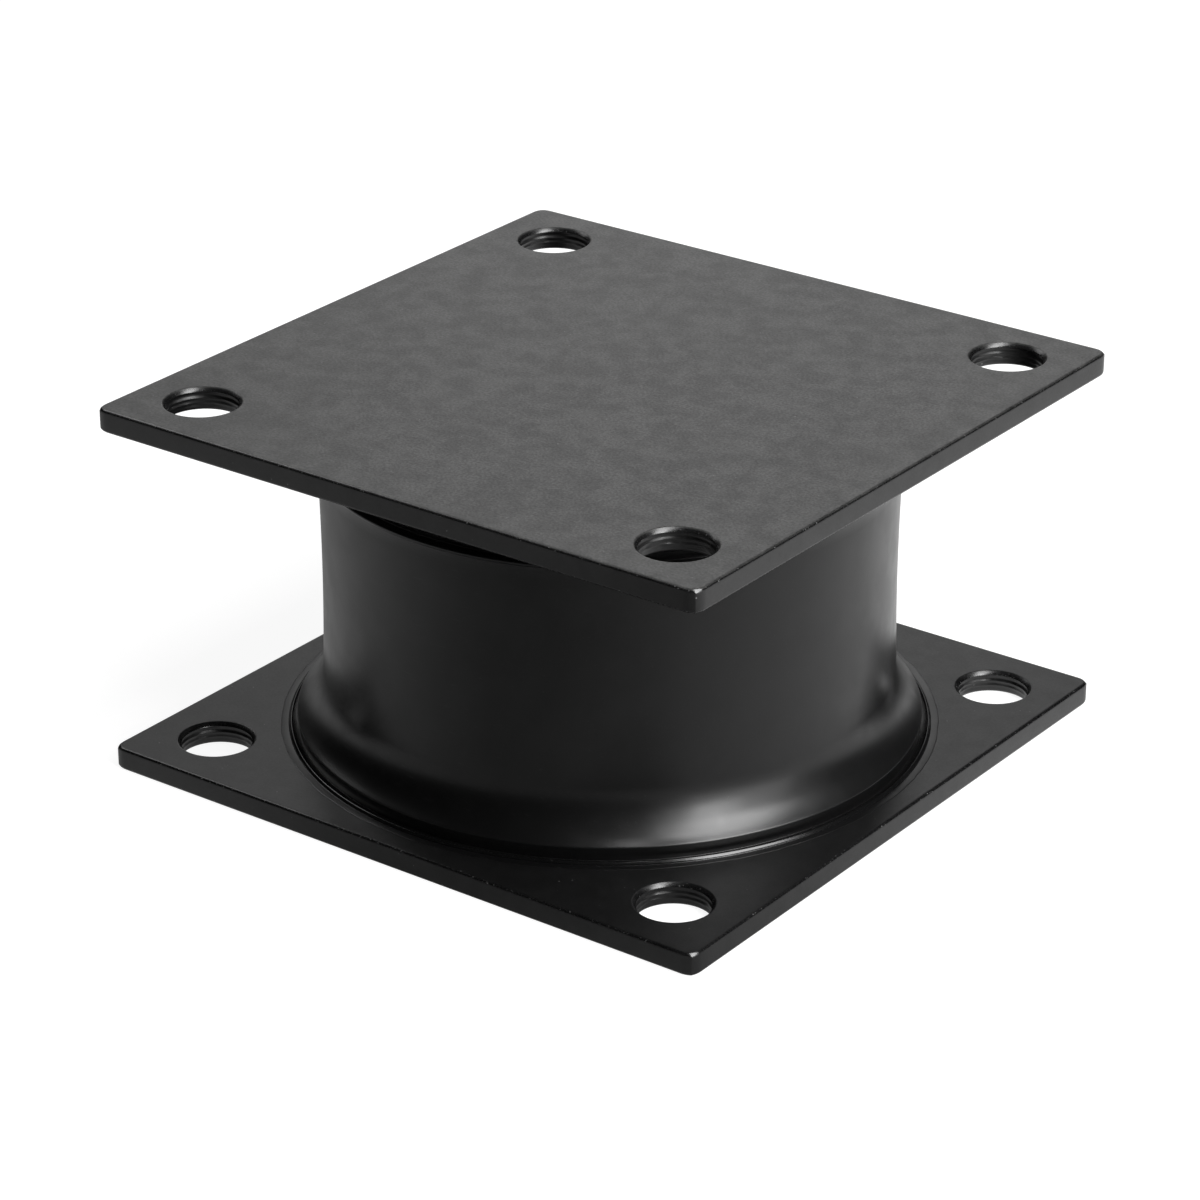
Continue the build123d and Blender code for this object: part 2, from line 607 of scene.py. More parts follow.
def quarter_round(steps: int) -> list[Point2]:
    """Points of a quarter circle of radius 1: how far in from the side, and how far down from the top."""
    turns = [math.pi / 2 * step / steps for step in range(steps + 1)]
    return [(1 - math.sin(turn), 1 - math.cos(turn)) for turn in turns]


def punch_holes(desk: NodeDesk, given: bpy.types.NodeOutputs) -> bpy.types.NodeSocket:
    """Make the walls of a plate's four bolt holes.

    Args:
        desk: The plate tree's desk.
        given: The plate tree's inputs.

    Returns:
        The walls, torn between their smooth rims. The attribute rounding marks the upper rims.
    """
    spot = desk.add("GeometryNodeInputPosition").outputs[0]
    wall = desk.sweep(given["Hole Section"], given["Hole Steps"], given["Section Path"])
    wall = desk.store(wall, "radial", desk.vector("NORMALIZE", desk.level(spot)), "FLOAT_VECTOR")
    pitch = given["Hole Pitch"]
    grid = {"Size X": pitch, "Size Y": pitch, "Vertices X": 2, "Vertices Y": 2}
    spots = desk.add("GeometryNodeMeshGrid", grid).outputs["Mesh"]
    holes = desk.add("GeometryNodeInstanceOnPoints", {"Points": spots, "Instance": wall})
    holes = desk.add("GeometryNodeRealizeInstances", {"Geometry": holes.outputs["Instances"]}).outputs[0]

    height, rim = desk.rise(spot), given["Smooth Rim"]
    from_top = desk.math("SUBTRACT", given["Thickness"], height)
    below_rim = desk.ramp(from_top, rim, desk.product(rim, TORN_BELOW))
    above_rim = desk.ramp(height, rim, desk.product(rim, TORN_ABOVE))
    flow = desk.vector("MULTIPLY", spot, TEAR_STRETCH)
    tear = desk.ramp(desk.seeded_noise(flow, given["Seed"], TEARS_PER_METRE), *TEAR_THRESHOLD)
    depth = desk.product(desk.product(tear, given["Torn Wave"]), desk.product(below_rim, above_rim))
    # The upper rims' band gets rubbed wear and painted glints in the paint.
    rim_starts = desk.ramp(from_top, 0.0, desk.product(rim, RUB_GLINT_FROM))
    rim_ends = desk.ramp(from_top, desk.product(rim, RUB_GLINT_TO), rim, 1.0, 0.0)
    holes = desk.store(holes, "rounding", desk.product(rim_starts, rim_ends))
    radial = desk.recall("radial", "FLOAT_VECTOR")
    return desk.move(holes, desk.vector("SCALE", radial, scale=depth))


def shear_sides(desk: NodeDesk, given: bpy.types.NodeOutputs) -> bpy.types.NodeSocket:
    """Let the sides of a plate's blank wander inwards a little, as far as its attributes allow.

    Args:
        desk: The plate tree's desk.
        given: The plate tree's inputs.

    Returns:
        The blank with its uneven sides.
    """
    spot = desk.add("GeometryNodeInputPosition").outputs[0]
    wave = desk.seeded_noise(spot, given["Seed"], desk.math("DIVIDE", 1.0, given["Wander Length"]))
    outward = desk.product(wave, given["Wander"], desk.recall("sheared"), -1.0)
    shift = desk.vector("SCALE", desk.recall("outward", "FLOAT_VECTOR"), scale=outward)
    return desk.move(given["Geometry"], shift)


def make_plate_tree() -> bpy.types.NodeTree:
    """The tree that gives a plate's blank its four bolt holes and its slightly uneven sheared sides."""
    desk, given, result = open_group(
        "punched_plate",
        "GeometryNodeTree",
        {
            "Geometry": (SocketKind.GEOMETRY, None),
            "Hole Section": (SocketKind.OBJECT, None),
            "Section Path": (SocketKind.NUMBER, 7.5 * MM),
            "Hole Pitch": (SocketKind.NUMBER, 119 * MM),
            "Hole Steps": (SocketKind.COUNT, 96),
            "Thickness": (SocketKind.NUMBER, 5 * MM),
            "Smooth Rim": (SocketKind.NUMBER, 1 * MM),
            "Torn Wave": (SocketKind.NUMBER, 0.2 * MM),
            "Wander": (SocketKind.NUMBER, 0.05 * MM),
            "Wander Length": (SocketKind.NUMBER, 9 * MM),
            "Seed": (SocketKind.NUMBER, 0.0),
            "Paint": (SocketKind.MATERIAL, None),
        },
        {"Geometry": SocketKind.GEOMETRY},
    )
    whole = desk.add("GeometryNodeJoinGeometry")
    desk.feed(whole.inputs[0], shear_sides(desk, given))
    desk.feed(whole.inputs[0], punch_holes(desk, given))
    desk.put_out(desk.merge(whole.outputs[0]), given["Paint"], result)
    return desk.tree


@dataclass
class SteelPlate:
    """A square steel plate: sheared sides with rounded edges, punched bolt holes, and paint all over."""

    node: PlateNode
    paint: bpy.types.Material
    corner_reach: float = 3.2 * MM
    corner_turn: float = 30.0
    crease_radius: float = 0.5 * MM
    least_crease: float = 0.06 * MM
    upper_edge_radius: float = 0.68 * MM
    lower_edge_radius: float = 0.8 * MM
    facet_turn: float = 12.0
    facet_rise: float = 42.0
    facet_depth: float = 0.66 * MM
    rim_radius: float = 0.8 * MM
    smooth_share: float = 1.2
    lead: float = 0.2 * MM
    torn_reach: float = 0.28 * MM
    torn_wave: float = 0.22 * MM
    wander: float = 0.05 * MM
    wander_length: float = 12 * MM
    band_height: float = 0.25 * MM
    bands: int = 4
    corner_steps: int = 5
    side_steps: int = 60
    round_steps: int = 6
    hole_steps: int = 96
    fill_grid: float = 7 * MM

    def __post_init__(self) -> None:
        """Take the plate's place from the frame and its bolt holes from the record."""
        low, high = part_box(self.node.value)
        self.underside = low.z
        self.half_side = high.x
        self.thickness = high.z - low.z
        self.flat_inset = max(self.upper_edge_radius, self.lower_edge_radius) + self.lead
        mounts = frame["record"]["mounts"]
        bolts = next(mount for mount in mounts if mount["name"] == "lower_bolts")["dims"]
        self.hole_radius = bolts["hole_r_mm"] * MM
        self.hole_pitch = bolts["spacing_x_mm"] * MM
        self.lead_radius = self.hole_radius + self.rim_radius + self.lead

    def corner(self, inset: float) -> np.ndarray:
        """The corner in the quarter of +X and +Y, moved in, as points from one side to the other.

        A gentle arc leaves each side, and the two meet in a blunt crease.

        Args:
            inset: How far the corner is moved in.

        Returns:
            The points, each an x and a y.
        """
        turn = math.radians(self.corner_turn)
        rest = self.corner_reach - self.crease_radius * (math.cos(turn) - math.sin(turn))
        gentle = rest / (math.sin(turn) + 1 - math.cos(turn))
        first = np.array([self.half_side - gentle, self.half_side - self.corner_reach])
        blunt = max(self.crease_radius - inset, self.least_crease)
        span = gentle - inset - blunt
        middle = (first.sum() + math.sqrt(2 * span**2 - (first[0] - first[1]) ** 2)) / 2
        meet = math.atan2(middle - first[1], middle - first[0])
        stops = [0.0, meet, math.pi / 2 - meet, math.pi / 2]
        centres = (first, np.array([middle, middle]), first[::-1])
        radii = (gentle - inset, blunt, gentle - inset)
        points = []
        for centre, radius, start, end in zip(centres, radii, stops, stops[1:]):
            turns = np.linspace(start, end, self.corner_steps + 1)[1 if len(points) else 0:]
            points.append(centre + radius * np.stack([np.cos(turns), np.sin(turns)], 1))
        return np.concatenate(points)

    def outline(self, inset: float) -> np.ndarray:
        """The plate's square outline with its four corners, moved in, as points going round once."""
        corner = self.corner(inset)
        arcs = []
        for _ in range(4):
            arcs.append(corner)
            corner = np.stack([-corner[:, 1], corner[:, 0]], 1)
        shares = np.linspace(0, 1, self.side_steps + 1)[1:-1, None]
        stretches = []
        for arc, after in zip(arcs, arcs[1:] + arcs[:1]):
            stretches += [arc, arc[-1] * (1 - shares) + after[0] * shares]
        return np.concatenate(stretches)

    def side_rows(self) -> list[tuple[float, float, float, float]]:
        """Rows of the plate's side, top to bottom: inset, height, rounding and share of the wander."""
        upper, lower = self.upper_edge_radius, self.lower_edge_radius
        first, last = [(self.flat_inset, self.thickness, 0.0, 0.0)], [(self.flat_inset, 0.0, 0.0, 0.0)]
        for step, (inward, down) in enumerate(quarter_round(self.round_steps)):
            bend = math.sin(math.pi * step / self.round_steps)
            free = step / self.round_steps
            first.append((inward * upper, self.thickness - down * upper, bend, free))
            last.insert(0, (inward * lower, down * lower, bend, free))
        below = self.thickness - upper
        between = [(0.0, below - self.band_height * band, 0.0, 1.0) for band in range(1, self.bands + 1)]
        return first + between + last

    def cut_corners(self, points: np.ndarray) -> np.ndarray:
        """Cut a small facet off the top of each corner by moving the points outside it onto it."""
        crease = self.corner(0.0)
        reach = float(np.linalg.norm(crease[len(crease) // 2]))
        rise = math.radians(self.facet_rise)
        foot = self.thickness - self.facet_depth
        shaped = points.copy()
        for quarter in range(4):
            diagonal = math.radians(45 + 90 * quarter)
            facing = diagonal + math.radians(self.facet_turn)
            level = math.cos(rise)
            normal = np.array([math.cos(facing) * level, math.sin(facing) * level, math.sin(rise)])
            anchor = np.array([reach * math.cos(diagonal), reach * math.sin(diagonal), foot])
            excess = np.maximum((shaped - anchor) @ normal, 0.0)
            shaped -= excess[:, None] * normal
        return shaped

    def flat_triangles(self, loops: list[np.ndarray]) -> tuple[np.ndarray, list[tuple[int, ...]]]:
        """Fill the flat between the outline and the bolt holes.

        Args:
            loops: The outline's points, then each hole's.

        Returns:
            Points inside the flat that come after the loops' own, and the triangles.
        """
        reach = self.half_side - self.flat_inset - self.fill_grid / 2
        steps = np.linspace(-reach, reach, round(2 * reach / self.fill_grid) + 1)
        grid = np.array([(x, y) for x in steps for y in steps])
        middles = [loop.mean(0) for loop in loops[1:]]
        clear = self.lead_radius + self.fill_grid / 3
        grid = grid[np.all([np.linalg.norm(grid - middle, axis=1) > clear for middle in middles], axis=0)]
        edges, start = [], 0
        for loop in loops:
            places = list(range(start, start + len(loop)))
            edges += list(zip(places, places[1:] + places[:1]))
            start += len(loop)
        points = np.concatenate(loops + [grid])
        vertices = [Vector(point) for point in points]
        made = delaunay_2d_cdt(vertices, edges, [], 0, FILL_TOLERANCE)
        faces = [tuple(made[3][place][0] for place in face) for face in made[2]]
        centres = [np.mean([points[place] for place in face], axis=0) for face in faces]
        # Triangles that span a hole have their centres inside its circle, short of its edge's chords.
        inside = self.lead_radius * 0.995
        kept = [
            face
            for face, centre in zip(faces, centres)
            if all(np.linalg.norm(centre - middle) > inside for middle in middles)
        ]
        return grid, kept

    def blank(self) -> bpy.types.Mesh:
        """The plate's two flats and its sides, open at the bolt holes.

        Its attributes are rounding, for rubbed edges with painted glints, sheared, for how far a point may
        wander, and outward, for the way it wanders.
        """
        rows = self.side_rows()
        rings = [self.outline(inset) for inset, *_ in rows]
        count = len(rings[0])
        turns = np.linspace(0, 2 * math.pi, self.hole_steps, endpoint=False)
        circle = self.lead_radius * np.stack([np.cos(turns), np.sin(turns)], 1)
        half_pitch = self.hole_pitch / 2
        loops = [circle + half_pitch * np.array([x, y]) for x in (-1, 1) for y in (-1, 1)]
        grid, triangles = self.flat_triangles([rings[0]] + loops)
        inner = np.concatenate(loops + [grid])

        points, bends, frees = [], [], []
        for ring, (_, height, bend, free) in zip(rings, rows):
            points += [(x, y, height) for x, y in ring]
            bends += [bend] * count
            frees += [free] * count
        for height in (self.thickness, 0.0):
            points += [(x, y, height) for x, y in inner]
            bends += [0.0] * len(inner)
            frees += [0.0] * len(inner)

        faces = []
        for row in range(len(rows) - 1):
            start, below = row * count, (row + 1) * count
            for step in range(count):
                after = (step + 1) % count
                faces.append((start + step, start + after, below + after, below + step))
        for row, first_inner in ((0, 0), (len(rows) - 1, len(inner))):
            shifts = (row * count, len(rows) * count + first_inner - count)
            faces += [tuple(place + shifts[place >= count] for place in face) for face in triangles]

        points = np.array(points)
        cut = self.cut_corners(points)
        moved = np.linalg.norm(cut - points, axis=1) > 0.001 * MM
        core = self.half_side - self.corner_reach
        away = points[:, :2] - np.clip(points[:, :2], -core, core)
        outward = np.zeros((len(points), 3))
        outward[:, :2] = away / np.maximum(np.linalg.norm(away, axis=1, keepdims=True), 1e-9)
        mesh = bpy.data.meshes.new(self.node.value + "_blank")
        mesh.from_pydata(cut.tolist(), [], faces)
        rounding = mesh.attributes.new("rounding", "FLOAT", "POINT")
        rounding.data.foreach_set("value", np.where(moved, 1.0, bends))
        mesh.attributes.new("sheared", "FLOAT", "POINT").data.foreach_set("value", frees)
        ways = mesh.attributes.new("outward", "FLOAT_VECTOR", "POINT")
        ways.data.foreach_set("vector", outward.ravel())
        return mesh

    def hole_section(self) -> list[Point2]:
        """A bolt hole's wall in section, top to bottom: a broad rim, sharply ridged grooves and a rim."""
        reach = self.rim_radius
        upper = [
            (self.hole_radius + outward * reach, self.thickness - down * reach)
            for outward, down in HOLE_RIM
        ]
        below = self.thickness - upper[-1][1]
        wall_height = self.thickness - below - reach
        wall = [
            (self.hole_radius + self.torn_reach * deep, self.thickness - below - wall_height * share)
            for share, deep in TORN_WALL
        ]
        low = wall[-1][0]
        rounded = reversed(quarter_round(self.round_steps))
        lower = [(low + inward * reach, down * reach) for inward, down in rounded]
        top, bottom = (self.lead_radius, self.thickness), (self.lead_radius, 0.0)
        return [top] + upper + wall + lower[:-1] + [bottom]

    def build(self, tree: bpy.types.NodeTree) -> bpy.types.Object:
        """Make the plate's mesh.

        Args:
            tree: The Geometry Nodes tree that punches the holes.

        Returns:
            The finished plate, in its place.
        """
        plate = link(self.node.value + "_painted", self.blank())
        section = section_curve(self.node.value + "_hole_section", self.hole_section(), self.hole_radius)
        run_tree(
            plate,
            tree,
            {
                "Hole Section": section,
                "Section Path": self.hole_radius,
                "Hole Pitch": self.hole_pitch,
                "Hole Steps": self.hole_steps,
                "Thickness": self.thickness,
                "Smooth Rim": self.rim_radius * self.smooth_share,
                "Torn Wave": self.torn_wave,
                "Wander": self.wander,
                "Wander Length": self.wander_length,
                "Seed": self.underside / MM,
                "Paint": self.paint,
            },
        )
        for place in plate.data.vertices:
            place.co.z += self.underside
        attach(plate, ONLY_BODY)
        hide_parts(self.node.value)
        return plate


def make_rubber_tree() -> bpy.types.NodeTree:
    """The tree that sweeps the rubber's section round its axis and lets the skin's edge wander."""
    desk, given, result = open_group(
        "moulded_column",
        "GeometryNodeTree",
        {
            "Geometry": (SocketKind.GEOMETRY, None),
            "Section": (SocketKind.OBJECT, None),
            "Section Path": (SocketKind.NUMBER, 60 * MM),
            "Steps": (SocketKind.COUNT, 192),
            "Skin Radius": (SocketKind.NUMBER, 70 * MM),
            "Ridge Radius": (SocketKind.NUMBER, 68 * MM),
            "Ridge Width": (SocketKind.NUMBER, 0.7 * MM),
            "Ragged Width": (SocketKind.NUMBER, 1.2 * MM),
            "Ragged Depth": (SocketKind.NUMBER, 0.4 * MM),
            "Ragged Length": (SocketKind.NUMBER, 7 * MM),
            "Seed": (SocketKind.NUMBER, 3.0),
            "Rubber": (SocketKind.MATERIAL, None),
        },
        {"Geometry": SocketKind.GEOMETRY},
    )
    swept = desk.merge(desk.sweep(given["Section"], given["Steps"], given["Section Path"]))
    spot = desk.add("GeometryNodeInputPosition").outputs[0]
    flat = desk.level(spot)
    radius = desk.vector("LENGTH", flat)

    off_ridge = desk.math("ABSOLUTE", desk.math("SUBTRACT", radius, given["Ridge Radius"]))
    half = desk.product(given["Ridge Width"], 0.5)
    on_ridge = desk.ramp(off_ridge, half, desk.product(half, BURNISHED_REACH), 1.0, 0.0)
    marked = desk.store(swept, "burnished", on_ridge)

    start = desk.math("SUBTRACT", given["Skin Radius"], given["Ragged Width"])
    edge = desk.ramp(radius, start, given["Skin Radius"])
    scale = desk.math("DIVIDE", 1.0, given["Ragged Length"])
    wave = desk.seeded_noise(spot, given["Seed"], scale, detail=4.0, rough=0.6)
    frayed = desk.ramp(wave, *FRAY_THRESHOLD)
    outward = desk.product(frayed, edge, given["Ragged Depth"], -1.0)
    shift = desk.vector("SCALE", desk.vector("NORMALIZE", flat), scale=outward)
    desk.put_out(desk.move(marked, shift), given["Rubber"], result)
    return desk.tree


@dataclass
class RubberColumn:
    """The rubber moulding: a waisted column, flared to a lip at each plate, with a thin skin round it."""

    rubber: bpy.types.Material
    waist_radius: float = 60.5 * MM
    waist_bow: float = 0.4 * MM
    flare_height: float = 10.8 * MM
    flare_start: float = 0.93
    lip_foot_radius: float = 67.6 * MM
    lip_lean: float = 0.8 * MM
    lip_height: float = 2.4 * MM
    lip_round: float = 0.4 * MM
    wall_foot_radius: float = 66.45 * MM
    wall_rises: tuple[float, ...] = (0.0, 0.1 * MM, 0.6 * MM, 1.3 * MM)
    skin_thickness: float = 0.7 * MM
    film_thickness: float = 0.05 * MM
    film_taper: float = 0.15 * MM
    bend_lead: float = 0.12 * MM
    bend_rise: float = 0.08 * MM
    ridge_reach: float = 0.65 * MM
    ridge_width: float = 0.72 * MM
    ridge_bevel: float = 0.4 * MM
    parting_below: float = 10.1 * MM
    bead_reach: float = 0.5 * MM
    bead_rise: float = 0.5 * MM
    recess_reach: float = 1.5 * MM
    recess_rises: tuple[float, float, float, float] = (0.45 * MM, 0.8 * MM, 3.4 * MM, 6.0 * MM)
    fine_step: float = 0.09 * MM
    ragged_width: float = 1.0 * MM
    ragged_depth: float = 0.35 * MM
    ragged_length: float = 4 * MM
    rim_steps: int = 7
    flare_steps: int = 22
    waist_steps: int = 25
    steps: int = 240

    def __post_init__(self) -> None:
        """Take the moulding's ends and its skin's radius from the frame."""
        low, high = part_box("rubber_column")
        self.bottom, self.top = low.z, high.z
        self.skin_radius = high.x
        self.ridge_radius = self.lip_foot_radius + self.ridge_reach

    def skin_section(self) -> list[Point2]:
        """The skin in section, from its outer foot in to the lip, as radius and height.

        A thin film rises to a narrow ridge with a bevelled outer edge, and a groove lies between it and the
        lip. Points close to each bend keep the smooth shading of one face off the next.
        """
        film, top, bevel = self.film_thickness, self.skin_thickness, self.ridge_bevel
        outer = self.ridge_radius + self.ridge_width / 2
        inner = self.ridge_radius - self.ridge_width / 2
        outside = [
            (self.skin_radius, 0.0),
            (self.skin_radius - 0.05 * MM, film * 0.6),
            (self.skin_radius - self.film_taper, film),
            (outer + self.bend_lead, film),
            (outer + 0.03 * MM, film),
            (outer, film + self.bend_rise),
            (outer, top - bevel * 1.15),
        ]
        slope = [(outer - bevel * share, top - bevel * (1 - share)) for share in (0.03, 0.2, 0.8, 0.97)]
        inside = [
            (inner + self.bend_lead, top),
            (inner, top - 0.15 * MM),
            (inner, film + self.bend_rise),
            (inner - 0.06 * MM, film),
            (self.wall_foot_radius + 0.1 * MM, film),
        ]
        return outside + slope + inside

    def lip_section(self) -> list[Point2]:
        """The lip in section, from its foot on the skin up its wall and round its rim."""
        corner = np.array([self.lip_foot_radius - self.lip_lean, self.skin_thickness + self.lip_height])
        base = np.array([self.wall_foot_radius, self.film_thickness])
        wall = (base - corner) / np.linalg.norm(base - corner)
        dive = self.flare_turn()
        flare = np.array([-math.sin(dive), math.cos(dive)])
        reach = self.lip_round / math.tan(math.acos(float(wall @ flare)) / 2)
        start, end = corner + wall * reach, corner + flare * reach
        bend = [
            tuple((1 - share) ** 2 * start + 2 * share * (1 - share) * corner + share**2 * end)
            for share in np.linspace(0, 1, self.rim_steps)
        ]
        return [tuple(base - wall * rise) for rise in self.wall_rises] + bend

    def flare_radius(self) -> float:
        """The radius of the flare's arc, which leaves the waist upright and runs out to the lip's rim."""
        reach = self.lip_foot_radius - self.lip_lean - self.waist_radius - self.waist_bow
        return (reach**2 + self.flare_height**2) / (2 * reach)

    def flare_turn(self) -> float:
        """The angle by which the flare's arc has turned from upright where it meets the rim."""
        return math.asin(self.flare_height / self.flare_radius())

    def flare_section(self) -> list[Point2]:
        """The flare in section, from beside the rim up to the waist's end."""
        radius = self.flare_radius()
        start = self.waist_radius + self.waist_bow
        end_height = self.skin_thickness + self.lip_height + self.flare_height
        turns = np.linspace(self.flare_turn() * self.flare_start, 0.0, self.flare_steps)
        return [
            (start + radius * (1 - math.cos(turn)), end_height - radius * math.sin(turn)) for turn in turns
        ]

    def section(self) -> list[Point2]:
        """The whole section, from the axis at the bottom round to the axis at the top."""
        end = self.skin_section() + self.lip_section() + self.flare_section()
        height = self.top - self.bottom
        middle = height / 2
        half_waist = middle - end[-1][1]
        waist = [
            (self.waist_radius + self.waist_bow * share**2, middle + share * half_waist)
            for share in np.linspace(-1, 1, self.waist_steps)[1:-1]
        ]
        lower = [(0.0, 0.0)] + end
        upper = [(radius, height - rise) for radius, rise in reversed(lower)]
        upper = self.with_parting(upper, height - self.parting_below)
        return [(radius, self.bottom + rise) for radius, rise in lower + waist + upper]

    def with_parting(self, outline: list[Point2], line: float) -> list[Point2]:
        """Add what the mould's joint left on the upper flare.

        Args:
            outline: The section's upper end, from the waist's end to the axis.
            line: The height of the parting line.

        Returns:
            The outline with a small bead at the line and a recess above it, which fades out towards the lip.
        """
        flare = self.flare_steps
        radii, heights = np.array(outline[:flare]).T
        rises = np.arange(heights[0], heights[-1], self.fine_step)
        above = rises - line
        bead = self.bead_reach * np.sqrt(np.clip(1 - (above / self.bead_rise) ** 2, 0, 1))
        recess = self.recess_reach * np.interp(above, self.recess_rises, [0.0, 1.0, 1.0, 0.0])
        shaped = np.interp(rises, heights, radii) + bead - recess
        return [(float(radius), float(rise)) for radius, rise in zip(shaped, rises)] + outline[flare:]

    def build(self, tree: bpy.types.NodeTree) -> bpy.types.Object:
        """Make the moulding's mesh.

        Args:
            tree: The Geometry Nodes tree that sweeps the section.

        Returns:
            The finished moulding, in its place.
        """
        column = link("rubber_moulding", bpy.data.meshes.new("rubber_moulding"))
        section = section_curve("rubber_section", self.section(), self.waist_radius)
        run_tree(
            column,
            tree,
            {
                "Section": section,
                "Section Path": self.waist_radius,
                "Steps": self.steps,
                "Skin Radius": self.skin_radius,
                "Ridge Radius": self.ridge_radius,
                "Ridge Width": self.ridge_width,
                "Ragged Width": self.ragged_width,
                "Ragged Depth": self.ragged_depth,
                "Ragged Length": self.ragged_length,
                "Rubber": self.rubber,
            },
        )
        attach(column, ONLY_BODY)
        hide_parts("rubber_column")
        return column


def bearing(azimuth: float, elevation: float) -> Vector:
    """The direction at a compass azimuth, in degrees from -Y towards +X, and an elevation."""
    turn, rise = math.radians(azimuth), math.radians(elevation)
    return Vector((math.sin(turn) * math.cos(rise), -math.cos(turn) * math.cos(rise), math.sin(rise)))


def turn_between(desk: NodeDesk, place: Any, azimuth: float) -> bpy.types.NodeSocket:
    """The angle in degrees, seen from above, between where a vector points and a compass azimuth."""
    level = desk.vector("NORMALIZE", desk.level(place))
    towards = desk.vector("DOT_PRODUCT", level, bearing(azimuth, 0.0))
    return desk.math("DEGREES", desk.math("ARCCOSINE", towards))


def plainly_seen(desk: NodeDesk, rays: bpy.types.NodeOutputs) -> bpy.types.NodeSocket:
    """1 for rays that see plain white, from the camera or through glass, and 0 for all others."""
    return desk.math("MAXIMUM", rays["Is Camera Ray"], rays["Is Transmission Ray"])


@dataclass(frozen=True)
class SoftBox:
    """A large soft lamp that points at the mount. Its angles are in degrees."""

    name: str
    azimuth: float
    elevation: float
    width: float
    height: float
    radiance: float
    distance: float = 1.2

    def place(self, target: Vector) -> None:
        """Hang the lamp, pointing at the target."""
        lamp = bpy.data.lights.new(self.name, "AREA")
        lamp.shape = "RECTANGLE"
        lamp.size, lamp.size_y = self.width, self.height
        lamp.energy = self.radiance * math.pi * self.width * self.height
        direction = bearing(self.azimuth, self.elevation)
        stand = link(self.name, lamp)
        stand.visible_camera = False
        stand.location = target + direction * self.distance
        stand.rotation_euler = direction.to_track_quat("Z", "Y").to_euler()


@dataclass(frozen=True)
class Glow:
    """A bright stretch of the studio's walls, which fades out to both sides and upwards, in degrees."""

    azimuth: float
    full_turn: float
    last_turn: float
    full_rise: float
    last_rise: float
    radiance: float

    def strength(self, desk: NodeDesk, direction: Any, rise: Any) -> bpy.types.NodeSocket:
        """How bright the glow is in a direction, given with its elevation."""
        turn = turn_between(desk, direction, self.azimuth)
        sideways = desk.ramp(turn, self.full_turn, self.last_turn, 1.0, 0.0)
        upwards = desk.ramp(rise, self.full_rise, self.last_rise, self.radiance, 0.0)
        return desk.product(sideways, upwards)


